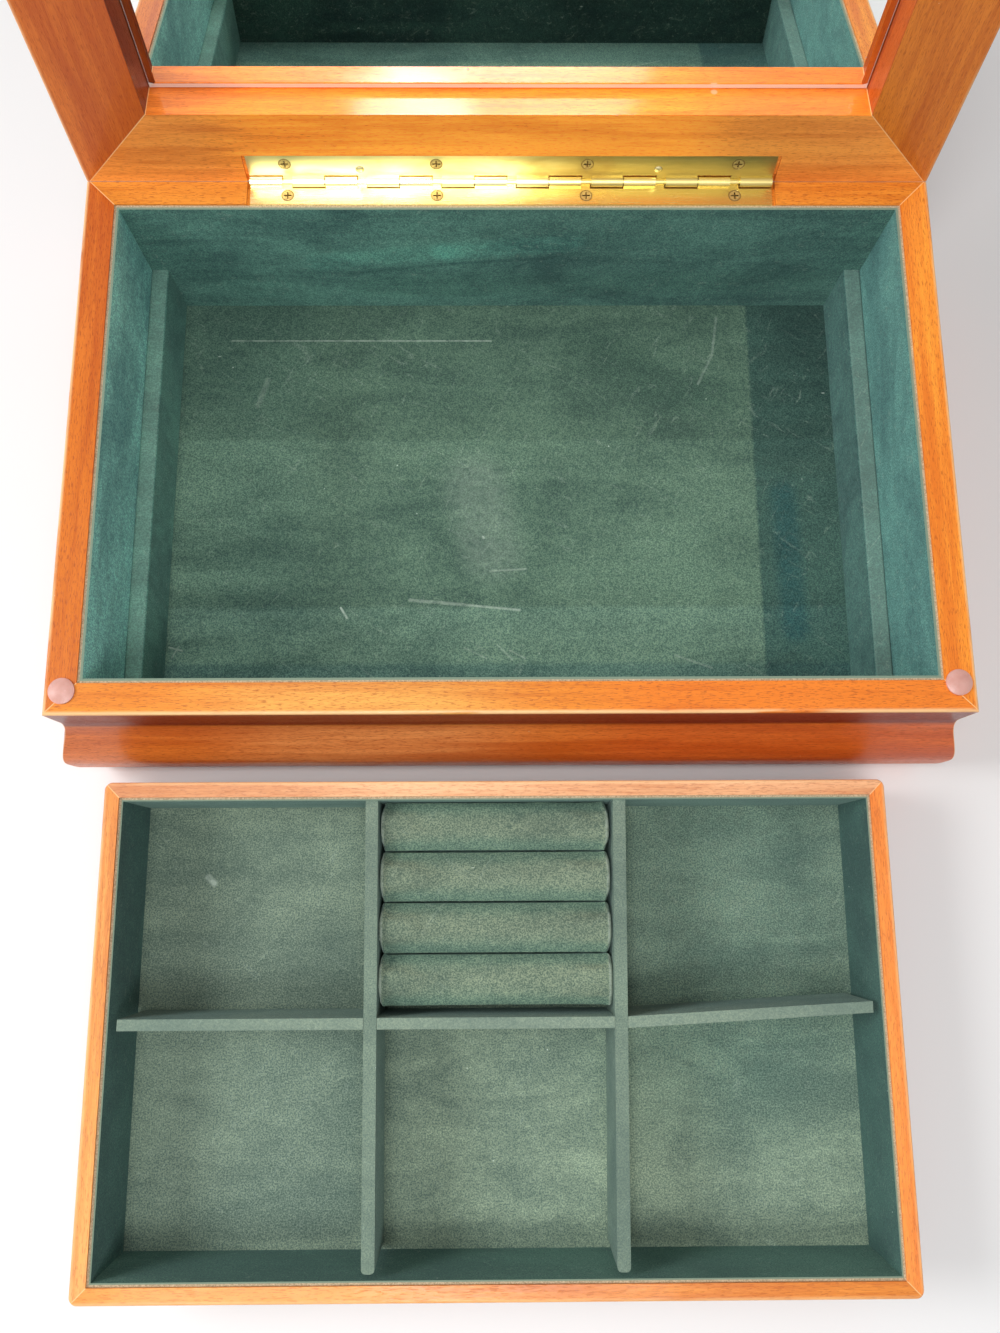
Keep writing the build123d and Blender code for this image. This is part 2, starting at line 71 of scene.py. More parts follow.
class Wire:
    """A shader socket under Python's operators; each operation adds the Math node that it needs."""

    def __init__(self, finish, socket):
        self.finish = finish
        self.socket = socket

    def math(self, operation, *others):
        terms = dict(enumerate((self,) + others))
        return self.finish.node("Math", {"operation": operation}, terms)

    def __add__(self, other):
        return self.math("ADD", other)

    def __sub__(self, other):
        return self.math("SUBTRACT", other)

    def __mul__(self, other):
        return self.math("MULTIPLY", other)

    def __truediv__(self, other):
        return self.math("DIVIDE", other)

    def __rsub__(self, other):
        return self.finish.node("Math", {"operation": "SUBTRACT"}, {0: other, 1: self})

    def __abs__(self):
        return self.math("ABSOLUTE")

    __radd__ = __add__
    __rmul__ = __mul__


class Finish:
    """One material: its nodes, and the patterns that this box's finishes share."""

    def __init__(self, name):
        self.material = bpy.data.materials.new(name)
        self.material.use_nodes = True
        self.tree = self.material.node_tree
        self.tree.nodes.clear()

    def node(self, kind, settings=None, sockets=None, out=0):
        """Adds a node: first its settings or a ramp's stops, then each socket's value or wire."""
        made = self.tree.nodes.new("ShaderNode" + kind)
        for name, value in (settings or {}).items():
            if name == "stops":
                while len(made.color_ramp.elements) < len(value):
                    made.color_ramp.elements.new(1.0)
                for element, (place, colour) in zip(made.color_ramp.elements, value):
                    element.position = place
                    element.color = colour
            else:
                setattr(made, name, value)
        for name, value in (sockets or {}).items():
            if isinstance(value, Wire):
                self.tree.links.new(value.socket, made.inputs[name])
            else:
                made.inputs[name].default_value = value
        return Wire(self, made.outputs[out]) if made.outputs else None

    def place(self, body):
        """Object coordinates in millimetres: the lid's turned shut, the tray's about its middle."""
        here = Wire(self, self.tree.nodes.new("ShaderNodeTexCoord").outputs["Object"])
        if body == "lid":
            turn = Euler((LID_OPEN, 0, 0)).to_matrix()
            here = self.node("Mapping", sockets={"Vector": here, "Rotation": (LID_OPEN, 0, 0),
                                                 "Location": HINGE_AXIS - turn @ HINGE_AXIS})
        if body == "tray":
            middle = (-TRAY_MIDDLE[0] / 1000, -TRAY_MIDDLE[1] / 1000, 0)
            here = self.node("Mapping", sockets={"Vector": here, "Location": middle})
        return self.node("VectorMath", {"operation": "SCALE"}, {0: here, "Scale": 1000.0})

    def parts(self, place):
        split = self.tree.nodes.new("ShaderNodeSeparateXYZ")
        self.tree.links.new(place.socket, split.inputs[0])
        return [Wire(self, split.outputs[i]) for i in range(3)]

    def join(self, x, y, z):
        return self.node("CombineXYZ", sockets={0: x, 1: y, 2: z})

    def stretch(self, place, scale, shift=(0, 0, 0)):
        return self.node("Mapping", sockets={"Vector": place, "Scale": scale, "Location": shift})

    def noise(self, place, detail=2.0, rough=0.5, twist=0.0):
        return self.node("TexNoise", sockets={"Vector": place, "Scale": 1.0, "Detail": detail,
                                              "Roughness": rough, "Distortion": twist})

    def fade(self, value, start, end, low=0.0, high=1.0):
        """From low at start to high at end, eased at both."""
        return self.node("MapRange", {"interpolation_type": "SMOOTHSTEP"},
                         {"Value": value, "From Min": start, "From Max": end,
                          "To Min": low, "To Max": high})

    def mix(self, share, first, second, blend="MIX"):
        return self.node("Mix", {"data_type": "RGBA", "blend_type": blend},
                         {0: share, 6: first, 7: second}, out=2)

    def specks(self, place, cell, size, share):
        """Small round specks: about one in share of the cells holds one, size across."""
        spots = self.stretch(place, (1 / cell,) * 3)
        near = self.node("TexVoronoi", sockets={"Vector": spots, "Scale": 1.0})
        chosen = self.parts(self.node("TexVoronoi", sockets={"Vector": spots, "Scale": 1.0}, out=1))[0]
        round_spot = self.fade(near, size / cell * 0.6, size / cell * 0.35)
        return round_spot * self.fade(chosen, 1 - share, 1 - share + 0.05)

    def stroke(self, x, y, start, end, width):
        """A stroke: 1 on the line from start to end and 0 half a width off it, for scuffs, tints and painted
        shade.
        """
        run = (end[0] - start[0], end[1] - start[1])
        long2 = run[0] ** 2 + run[1] ** 2
        along = ((x - start[0]) * run[0] + (y - start[1]) * run[1]) / long2
        along = self.node("Clamp", sockets={0: along})
        off_x = x - start[0] - along * run[0]
        off_y = y - start[1] - along * run[1]
        off = (off_x * off_x + off_y * off_y).math("SQRT")
        return self.fade(off, width / 2, width * 0.12)

    def done(self, **sockets):
        """Ends the material on a Principled shader with these sockets."""
        shader = self.node("BsdfPrincipled", sockets={k.replace("_", " "): v for k, v in sockets.items()})
        self.node("OutputMaterial", sockets={"Surface": shader})
        return self.material

    def bump(self, height, strength, distance):
        return self.node("Bump", sockets={"Height": height, "Strength": strength, "Distance": distance})


def edge_light(f, x, y, z, half_w, half_d, top):
    """Where a frame's wood is pale: its mitre joints, and the arris round its top, pale with wear and a painted
    highlight.
    """
    off_mitre = abs((abs(x) - half_w) - (abs(y) - half_d))
    mitre = f.fade(off_mitre, 0.32, 0.06)
    outward = (abs(x) - half_w).math("MAXIMUM", abs(y) - half_d)
    arris = f.fade(outward, -1.5, -0.3) * f.fade(z, top - 1.6, top - 0.5) * f.fade(z, top + 1.2, top + 0.5)
    return mitre, arris


def hardwood(name, body, along, tone, half, top, seed, gloss=0.10, side=None, fascia_shade=None, flare=None,
             frame_wall_shade=None, scuffed_and_highlit_share=0.55, tint_patches_and_sheen=(), crisp=0.42):
    """Lacquered wood with its grain along one axis, pale at the mitres, and pale along the arris with wear and a
    painted highlight.

    A tint patch runs from one place to another along the grain and takes a tint, soft at both ends; the listed
    ones on the case front's left and the lid's back rail are a painted sheen and a painted reflection. The fascia
    under the rim takes painted shade, and the lid frame's inner walls a painted-shade tint."""
    f = Finish(name)
    x, y, z = f.parts(f.place(body))
    run, cross = (x, y) if along == "x" else (y, x)
    q = f.join(run + seed * 37.0, cross + seed * 11.0, z)
    bands = f.noise(f.stretch(q, (0.004, 0.045, 0.045)), 2.0, 0.5, 0.6)
    grain = f.noise(f.stretch(q, (0.022, 0.42, 0.42)), 4.0, 0.62, 0.2)
    fine = f.noise(f.stretch(q, (0.16, 2.4, 2.4)), 3.0, 0.6)
    pores = f.noise(f.stretch(q, (0.42, 3.4, 3.4), (7, 3, 1)), 2.0, 0.55)
    shade = bands * 0.45 + grain * 0.35 + fine * 0.20
    light = (min(1.0, tone[0] * 1.12), min(1.0, tone[1] * 1.26), min(1.0, tone[2] * 1.35), 1.0)
    dark = (tone[0] * 0.78, tone[1] * 0.63, tone[2] * 0.53, 1.0)
    colour = f.mix(f.fade(shade, 0.38, 0.63), dark, light)
    # Tint patches along the grain; some are painted sheen and painted reflection.
    for low, high, soft, tint in tint_patches_and_sheen:
        share = f.fade(run + grain * 20.0 - 10.0, low - soft, low + soft) * f.fade(run, high + soft, high - soft)
        colour = f.mix(share, colour, f.mix(1.0, colour, tint, "MULTIPLY"))
    flecks = f.fade(pores, 0.55, 0.63)
    colour = f.mix(flecks * crisp, colour, (dark[0] * 0.60, dark[1] * 0.42, dark[2] * 0.4, 1.0))
    mitre, arris = edge_light(f, x, y, z, half[0], half[1], top)
    outward = (abs(x) - half[0]).math("MAXIMUM", abs(y) - half[1])
    if side is not None:
        stained = f.fade(outward, -0.5, -0.1) * f.fade(z, top - 0.3, top - 0.8)
        colour = f.mix(stained * 0.85, colour, f.mix(1.0, colour, side, "MULTIPLY"))
    # Painted shade: the upright fascia under the rim is darkened, and the flare below it takes its own tint.
    if fascia_shade is not None:
        upright = f.fade(outward, -0.25, -0.02) * f.fade(outward, 0.7, 0.25) * f.fade(z, top - 0.7, top - 2.2)
        colour = f.mix(f.fade(outward, 0.3, 0.9), colour, f.mix(1.0, colour, flare, "MULTIPLY"))
        colour = f.mix(upright, colour, f.mix(1.0, colour, fascia_shade, "MULTIPLY"))
    # Painted shade: the lid frame's inner walls round the mirror take a darker tint.
    if frame_wall_shade is not None:
        inner_wall = f.fade(outward, -LID_FRAME + 0.3, -LID_FRAME + 0.05)
        colour = f.mix(inner_wall, colour, f.mix(1.0, colour, frame_wall_shade, "MULTIPLY"))
    # The pale arris is part wear and part painted highlight along the top edge.
    scuffed_and_highlit_arris = arris * f.fade(f.noise(f.stretch(q, (0.05, 0.4, 0.4)), 3.0), 0.25, 0.55)
    pale = tuple(c * 0.3 + p * 0.7 for c, p in zip(tone, (1.0, 0.74, 0.38))) + (1.0,)
    colour = f.mix((scuffed_and_highlit_arris * scuffed_and_highlit_share).math("MAXIMUM", mitre * 0.75), colour, pale)
    dust = f.specks(q, 7.0, 0.45, 0.22)
    dents = f.specks(f.stretch(q, (0.7, 0.7, 0.7), (31, 5, 9)), 19.0, 1.5, 0.30)
    colour = f.mix((dust * 0.75).math("MAXIMUM", dents * 0.45), colour, (0.85, 0.62, 0.42, 1.0))
    smear = f.noise(f.stretch(q, (0.03, 0.05, 0.05), (3, 1, 8)), 4.0, 0.65)
    rough = 0.30 + f.fade(smear, 0.35, 0.75) * 0.18 + flecks * 0.15 + scuffed_and_highlit_arris * 0.12
    waves = f.noise(f.stretch(q, (0.25, 0.3, 0.3)), 1.0)
    height = grain * 0.3 + fine * 0.25 - flecks * 0.6 - dents * 0.5 + waves * 0.8
    return f.done(Base_Color=colour, Roughness=rough, Coat_Weight=gloss, Coat_Roughness=0.10,
                  Specular_IOR_Level=0.25, Normal=f.bump(height, 0.3, 0.00012))


def suede(name, body, tone, seed=0.0, card=None, marks=(), brushed=(0.012, 0.05, 0.03), lint=0.2,
          panels=(), tint_and_light_strokes=(), pale_top=None, top_share=0.25, shade_from_height=None, pale_ends=None, contrast=1.0,
          upright=False):
    """Nap over card: brushed patches, fine fibre, lint, scuffs, and the bare edge of the card on top.

    A panel tints the colour past a line, and a stroke is a wide soft band with a tint; some panels and strokes
    are painted light and shade, as noted at their tables. A mark is a thin pale stroke: its start, end, width and
    strength. A card is its top and the half sizes of its opening. Below shade_from_height the colour takes a
    painted shade."""
    f = Finish(name)
    place = f.place(body)
    x, y, z = f.parts(place)
    q = f.stretch(place, (1, 1, 1), (seed * 13.0, seed * 7.0, seed * 3.0))
    patches = f.noise(f.stretch(q, (0.020, 0.024, 0.03)), 3.0, 0.6, 0.5)
    sweeps = f.noise(f.stretch(q, brushed), 4.0, 0.62, 1.0)
    fibre = f.noise(f.stretch(q, (1.9, 1.9, 1.9)), 3.0, 0.75)
    fluff = f.noise(f.stretch(q, (0.40, 0.40, 0.40), (4, 8, 2)), 4.0, 0.7)
    swing = 0.34 * contrast
    down = tuple(c * (1 - swing * k) for c, k in zip(tone, (1.10, 0.95, 0.85))) + (1.0,)
    up = tuple(c * (1 + swing * k) for c, k in zip(tone, (1.10, 0.95, 0.85))) + (1.0,)
    nap = f.fade(patches * 0.40 + sweeps * 0.38 + fluff * 0.22, 0.36, 0.64)
    colour = f.mix(nap, down, up)
    # Panels tint the colour past a line; some are painted light and shade, noted at their tables.
    for axis, low, high, tint in panels:
        tinted_copy = f.mix(1.0, colour, tint, "MULTIPLY")
        share = f.fade(x if axis == "x" else y, low, high) * f.fade(sweeps, 0.25, 0.55, 0.70, 1.0)
        colour = f.mix(share, colour, tinted_copy)
    # Strokes: wide soft bands with a tint; some are painted light and shade, noted at their tables.
    for start, end, width, tint in tint_and_light_strokes:
        tinted_copy = f.mix(1.0, colour, tint, "MULTIPLY")
        place_in = f.stroke(x, z if upright else y, start, end, width)
        colour = f.mix(place_in * f.fade(fluff, 0.3, 0.6, 0.6, 1.0), colour, tinted_copy)
    # Painted shade: below this height, down in the valleys between the rolls, the felt is darkened and turned
    # bluer.
    if shade_from_height is not None:
        deep = f.fade(z + fluff * 1.6 - 0.8, shade_from_height, shade_from_height - 2.0)
        colour = f.mix(deep * 0.85, colour, f.mix(1.0, colour, (0.68, 0.87, 0.90, 1), "MULTIPLY"))
    for turn, shift in ((0.55, 4.0), (-0.95, 9.0)):
        turned = f.node("Mapping", sockets={"Vector": q, "Rotation": (0, turn * 0.4, turn),
                                            "Location": (shift, 0, 0)})
        drawn = f.noise(f.stretch(turned, (0.012, 0.30, 0.30)), 4.0, 0.62, 2.2)
        colour = f.mix(f.fade(drawn, 0.58, 0.74) * 0.16 * contrast, colour, (0.40, 0.52, 0.44, 1.0))
    warm = f.mix(1.0, colour, (1.60, 1.45, 1.35, 1), "MULTIPLY")
    colour = f.mix(f.fade(fibre, 0.36, 0.66), f.mix(1.0, colour, (0.51, 0.59, 0.63, 1), "MULTIPLY"), warm)
    scuffs = None
    for start, end, width, strength in marks:
        one = f.stroke(x, y, start, end, width) * strength
        scuffs = one if scuffs is None else scuffs.math("MAXIMUM", one)
    if scuffs is not None:
        scuffs = scuffs * f.fade(fluff, 0.30, 0.62, 0.35, 1.0)
        colour = f.mix(scuffs, colour, (0.52, 0.62, 0.53, 1.0))
    crumbs = f.specks(q, 9.0, 0.55, lint)
    hairs = f.specks(f.stretch(q, (0.35, 1.3, 1.3), (5, 9, 2)), 9.0, 0.5, lint * 0.8)
    colour = f.mix((crumbs + hairs * 0.7) * 0.75, colour, (0.62, 0.72, 0.63, 1.0))
    if pale_top is not None:
        colour = f.mix(f.fade(z, pale_top - 0.5, pale_top - 0.1) * top_share, colour, (0.32, 0.44, 0.36, 1.0))
    if pale_ends is not None:
        middle, half = pale_ends
        cut = f.fade(abs(x - middle), half - 0.9, half - 0.3) * f.fade(fluff, 0.35, 0.55, 0.25, 1.0)
        colour = f.mix(cut * 0.6, colour, (0.42, 0.50, 0.42, 1.0))
    if card is not None:
        outer, inner = card[1]
        bare = f.fade(z, card[0] - 0.12, card[0] - 0.04)
        board = f.mix(f.fade(fibre, 0.3, 0.7), (0.30, 0.22, 0.13, 1), (0.62, 0.50, 0.33, 1))
        from_edge = (abs(x) - outer).math("MAXIMUM", abs(y) - inner)
        board = f.mix(f.fade(from_edge, -0.55, -0.9), board, (0.20, 0.27, 0.20, 1.0))
        colour = f.mix(bare, colour, board)
    height = fibre * 0.7 + fluff * 0.5
    return f.done(Base_Color=colour, Roughness=0.86 + fluff * 0.12, Sheen_Weight=0.25, Sheen_Roughness=0.45,
                  Sheen_Tint=(0.55, 0.85, 0.80, 1), Normal=f.bump(height, 0.5, 0.0003),
                  Specular_IOR_Level=0.2)


def baize(name, tone):
    """Plain wool baize: short crossed fibres and a little rubbing."""
    f = Finish(name)
    place = f.place("case")
    fibre = f.noise(f.stretch(place, (2.2, 2.2, 2.2)), 4.0, 0.7, 0.8)
    rubbed = f.noise(f.stretch(place, (0.03, 0.03, 0.03)), 3.0, 0.6)
    colour = f.mix(f.fade(fibre, 0.3, 0.7), tuple(c * 0.6 for c in tone[:3]) + (1,), tone)
    colour = f.mix(f.fade(rubbed, 0.5, 0.8) * 0.3, colour, (0.3, 0.4, 0.33, 1))
    return f.done(Base_Color=colour, Roughness=0.9 + fibre * 0.08, Sheen_Weight=0.3,
                  Normal=f.bump(fibre, 0.6, 0.0003))


def fibreboard(name, body, tone):
    """Pressed board: long pale and dark fibres lying every way, and a soft dent here and there."""
    f = Finish(name)
    place = f.place(body)
    one = f.noise(f.stretch(place, (0.25, 1.9, 1.9)), 4.0, 0.7, 0.4)
    two = f.noise(f.stretch(place, (1.9, 0.25, 1.9), (9, 4, 1)), 4.0, 0.7, 0.4)
    both = one * 0.5 + two * 0.5
    stain = f.noise(f.stretch(place, (0.02, 0.02, 0.02)), 3.0)
    colour = f.mix(f.fade(both, 0.3, 0.7), tuple(c * 0.55 for c in tone[:3]) + (1,), tone)
    colour = f.mix(f.fade(stain, 0.45, 0.75) * 0.35, colour, tuple(c * 0.4 for c in tone[:3]) + (1,))
    return f.done(Base_Color=colour, Roughness=0.7 + both * 0.2, Normal=f.bump(both, 0.35, 0.0002))


def sheet_brass(name, body, dull, right_side_dimming):
    """Rolled brass: fine lines along its length, pale on the left and dim to the right, and spots; the change
    from pale to dim is partly rubbing and tarnish and partly painted reflection.
    """
    f = Finish(name)
    place = f.place(body)
    x, y, z = f.parts(place)
    lines = f.noise(f.stretch(place, (0.04, 3.5, 3.5)), 4.0, 0.6)
    cloud = f.noise(f.stretch(place, (0.05, 0.12, 0.12)), 3.0, 0.6, 0.5)
    spots = f.specks(place, 6.0, 0.5, 0.25)
    # Pale on the left and dim to the right: partly rubbing and tarnish, partly painted reflection.
    oxide_and_reflection_share = f.fade(x + cloud * 30.0, 6.0, 44.0)
    rubbed = f.mix(f.fade(cloud, 0.38, 0.72), (0.96, 0.88, 0.50, 1), (0.93, 0.80, 0.36, 1))
    oxide_and_dim_colour = f.mix(f.fade(cloud, 0.38, 0.72), (0.95 * right_side_dimming, 0.76 * right_side_dimming, 0.28 * right_side_dimming, 1),
                    (0.84 * right_side_dimming, 0.62 * right_side_dimming, 0.20 * right_side_dimming, 1))
    colour = f.mix(oxide_and_reflection_share, rubbed, oxide_and_dim_colour)
    colour = f.mix(f.fade(lines, 0.45, 0.75) * 0.25 * (1.0 - oxide_and_reflection_share * 0.6), colour, (1.0, 0.92, 0.60, 1))
    colour = f.mix(spots * 0.8, colour, (0.20, 0.12, 0.03, 1))
    rough = dull + f.fade(cloud, 0.35, 0.75) * 0.12 + f.fade(lines, 0.4, 0.7) * 0.08 + spots * 0.3
    return f.done(Base_Color=colour, Metallic=1.0, Roughness=rough, Normal=f.bump(lines, 0.12, 0.00005))


def old_screw(name, body, pitch, first, row_y, face_z, head, metal=(0.66, 0.52, 0.24, 1)):
    """Dull brass heads: each darkens at its rim and in its slots, partly grime and partly painted shade in the
    gap round the head and in the slots, worked out from its own centre.
    """
    f = Finish(name)
    place = f.place(body)
    x, y, z = f.parts(place)
    from_x = (x - first + pitch / 2).math("FLOORED_MODULO", pitch) - pitch / 2
    from_y = y - row_y
    out = (from_x * from_x + from_y * from_y).math("SQRT")
    # Partly grime, partly painted shade: dark in the gap round each head and in its slots.
    head_edge_dirt_and_shade = f.fade(out, head * 0.72, head * 0.95)
    grime = f.noise(f.stretch(place, (1.4, 1.4, 1.4)), 3.0, 0.65)
    slot_dirt_and_shade = f.fade(abs(z - face_z), 0.12, 0.4) * f.fade(out, head, head * 0.7)
    colour = f.mix(f.fade(grime, 0.35, 0.7), metal, tuple(c * 0.6 for c in metal[:3]) + (1,))
    colour = f.mix(head_edge_dirt_and_shade * 0.7, colour, (0.16, 0.08, 0.02, 1))
    colour = f.mix(slot_dirt_and_shade * 0.8, colour, (0.10, 0.05, 0.015, 1))
    return f.done(Base_Color=colour, Metallic=1.0, Roughness=0.28 + f.fade(grime, 0.3, 0.7) * 0.25,
                  Normal=f.bump(grime, 0.3, 0.0001))


def silvered(name):
    """The mirror: nearly perfect silver with faint wiping marks and a rare speck, and pale matt ground edges that
    are partly ground glass and partly a painted highlight.
    """
    f = Finish(name)
    place = f.place("lid")
    wiped = f.noise(f.stretch(place, (0.012, 0.05, 0.05)), 4.0, 0.6, 1.0)
    dust = f.specks(place, 11.0, 0.8, 0.4)
    colour = f.mix(f.fade(wiped, 0.45, 0.8) * 0.3, (0.90, 0.93, 0.92, 1), (0.84, 0.88, 0.87, 1))
    x, y, z = f.parts(place)
    # The ground edges are pale and matt: partly ground glass, partly a painted highlight.
    sides = f.fade(abs(x), MIRROR_HALF[0] - 0.5, MIRROR_HALF[0] - 0.2)
    foot = f.fade(y, MIRROR_HALF[1] - 2.0, MIRROR_HALF[1] - 1.7)
    edge_matt_and_highlight = (sides * 0.4).math("MAXIMUM", foot * 0.85)
    pale = edge_matt_and_highlight.math("MAXIMUM", dust * 0.6)
    colour = f.mix(pale, colour, (0.93, 0.95, 0.93, 1))
    rough = 0.012 + f.fade(wiped, 0.5, 0.9) * 0.02 + pale * 0.45
    return f.done(Base_Color=colour, Metallic=1.0 - pale, Roughness=rough)


def soft_bumper(name):
    """A clear pad gone pink with age: cloudy inside, and a little dust stuck on its crown."""
    f = Finish(name)
    place = f.place("case")
    cloud = f.noise(f.stretch(place, (0.25, 0.25, 0.25)), 3.0, 0.6)
    dust = f.specks(place, 2.2, 0.25, 0.3)
    colour = f.mix(f.fade(cloud, 0.35, 0.7), screen(208, 158, 147), screen(198, 144, 132))
    colour = f.mix(dust * 0.4, colour, screen(250, 225, 215))
    return f.done(Base_Color=colour, Roughness=0.34 + f.fade(cloud, 0.3, 0.7) * 0.15, Subsurface_Weight=0.25,
                  Subsurface_Radius=(0.002, 0.001, 0.0008), Subsurface_Scale=0.6,
                  Normal=f.bump(cloud, 0.2, 0.0002))


def dress(finish, *nodes):
    for name in nodes:
        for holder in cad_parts[name].material_slots:
            holder.material = finish


def surface(name, grid, closed_round=True, finish=None):
    """A mesh from a grid of points, rings along it and points round each ring."""
    rings, around = grid.shape[:2]
    index = np.arange(rings * around).reshape(rings, around)
    ahead = np.roll(index, -1, axis=1) if closed_round else index[:, 1:]
    here = index if closed_round else index[:, :-1]
    quads = np.stack([here[:-1], ahead[:-1], ahead[1:], here[1:]], axis=-1).reshape(-1, 4)
    mesh = bpy.data.meshes.new(name)
    mesh.from_pydata(grid.reshape(-1, 3).tolist(), [], quads.tolist())
    work = bmesh.new()
    work.from_mesh(mesh)
    bmesh.ops.remove_doubles(work, verts=work.verts, dist=2e-6)
    bmesh.ops.recalc_face_normals(work, faces=work.faces)
    work.to_mesh(mesh)
    work.free()
    mesh.shade_smooth()
    piece = bpy.data.objects.new(name, mesh)
    bpy.context.collection.objects.link(piece)
    if finish is not None:
        mesh.materials.append(finish)
    return piece


def roll_grid(low, high, seed):
    """A ring roll's cover before it is stuffed, as rings of points along x.

    A ring is an arc of a circle on top, straight sides and a flat foot. Near an end the ring draws in by
    1 - sqrt(1 - t^2), a quarter circle, and past it the ring shuts on its own middle."""
    base, top, half_l, half_w = low[2], high[2] - ROLL_SLACK, (high[0] - low[0]) / 2, ROLL_ROOM
    bend = (half_w ** 2 + ROLL_CROWN ** 2) / (2 * ROLL_CROWN)
    over = half_w * np.cos(np.linspace(0, np.pi, 37))
    side = top - ROLL_CROWN - (top - ROLL_CROWN - base) * np.linspace(0, 1, 15)[1:] ** 2
    foot = np.linspace(-half_w, half_w, 9)[1:-1]
    across = np.concatenate([over, np.full(14, -half_w), foot, np.full(14, half_w)])
    height = np.concatenate([top - bend + np.sqrt(bend ** 2 - over ** 2), side, np.full(7, base), side[::-1]])
    left = -half_l + ROLL_SOFT * (1 + np.sin(np.linspace(-np.pi / 2, 0, 6)))
    along = np.concatenate([left, np.linspace(left[-1], -left[-1], 60)[1:-1], -left[::-1]])
    past = np.clip((np.abs(along) - half_l + ROLL_SOFT) / ROLL_SOFT, 0, 1)
    draw = np.pad(ROLL_SOFT * (1 - np.sqrt(1 - past ** 2)), 6, mode="edge")[:, None]
    shutting = np.linspace(0, 1, 7)[:-1]
    shut = np.concatenate([shutting, np.ones(len(along)), shutting[::-1]])[:, None]
    along = np.pad(along, 6, mode="edge")[:, None]
    ring_y = across * (1 - draw / half_w) * shut
    middle = (top + base) / 2
    ring_z = middle + (base + (height - base) * (1 - draw / (top - base)) - middle) * shut
    rng = np.random.default_rng(seed)
    wave = np.sin(along * rng.uniform(60, 110) + rng.uniform(0, 6))
    wave = wave * np.cos(across / half_w * 2 + rng.uniform(0, 3))
    uneven = 0.00015 * wave * (height > top - ROLL_CROWN) * (shut == 1)
    ring_x = np.broadcast_to(along, ring_y.shape)
    return np.stack([ring_x + (low[0] + high[0]) / 2, ring_y + (low[1] + high[1]) / 2, ring_z + uneven], -1)


def points(mesh):
    """A mesh's points as an array, a row for each."""
    flat = np.empty(len(mesh.vertices) * 3)
    mesh.vertices.foreach_get("co", flat)
    return flat.reshape(-1, 3)


def stuff(rolls):
    """Fills the covers: each is cloth blown up from inside with its foot held. A point moves no more
    than ROLL_SLACK, a quarter of that sideways, where the next roll presses back, and stops at the middle
    of the gap to that roll."""
    for roll in rolls:
        start = points(roll.data)
        held = roll.vertex_groups.new(name="foot")
        held.add(np.flatnonzero(start[:, 2] < start[:, 2].min() + 0.0008).tolist(), 1.0, "REPLACE")
        cover = roll.modifiers.new("stuffing", "CLOTH")
        cover.settings.quality = 5
        cover.settings.vertex_group_mass = "foot"
        cover.settings.use_pressure = True
        cover.settings.uniform_pressure_force = 6.0
        cover.settings.shrink_min = -0.03
        cover.settings.effector_weights.gravity = 0.0
        cover.point_cache.frame_end = 20
    for step in range(1, 21):
        bpy.context.scene.frame_set(step)
    graph = bpy.context.evaluated_depsgraph_get()
    for roll in rolls:
        start = points(roll.data)
        way = points(roll.evaluated_get(graph).data) - start
        way[:, 1] *= 0.25
        far = np.linalg.norm(way, axis=1, keepdims=True)
        full = start + way * np.minimum(1.0, ROLL_SLACK / np.maximum(far, 1e-9))
        middle = (start[:, 1].max() + start[:, 1].min()) / 2
        full[:, 1] = np.clip(full[:, 1], middle - ROLL_ROOM, middle + ROLL_ROOM)
        full[:, 2] = np.maximum(full[:, 2], start[:, 2].min())
        roll.modifiers.clear()
        roll.vertex_groups.clear()
        roll.data.vertices.foreach_set("co", full.ravel())
        roll.data.update()
    bpy.context.scene.frame_set(1)


def light(name, at, aim, size, power, colour, shine_only=False):
    """A round area lamp that the camera doesn't see; one for shine is seen in polished things alone."""
    lamp = bpy.data.lights.new(name, "AREA")
    lamp.energy, lamp.color = power, colour
    lamp.shape, lamp.size = "DISK", size
    holder = bpy.data.objects.new(name, lamp)
    holder.location = at
    holder.rotation_euler = (Vector(aim) - Vector(at)).to_track_quat("-Z", "Y").to_euler()
    holder.visible_camera = False
    holder.visible_diffuse = not shine_only
    bpy.context.collection.objects.link(holder)


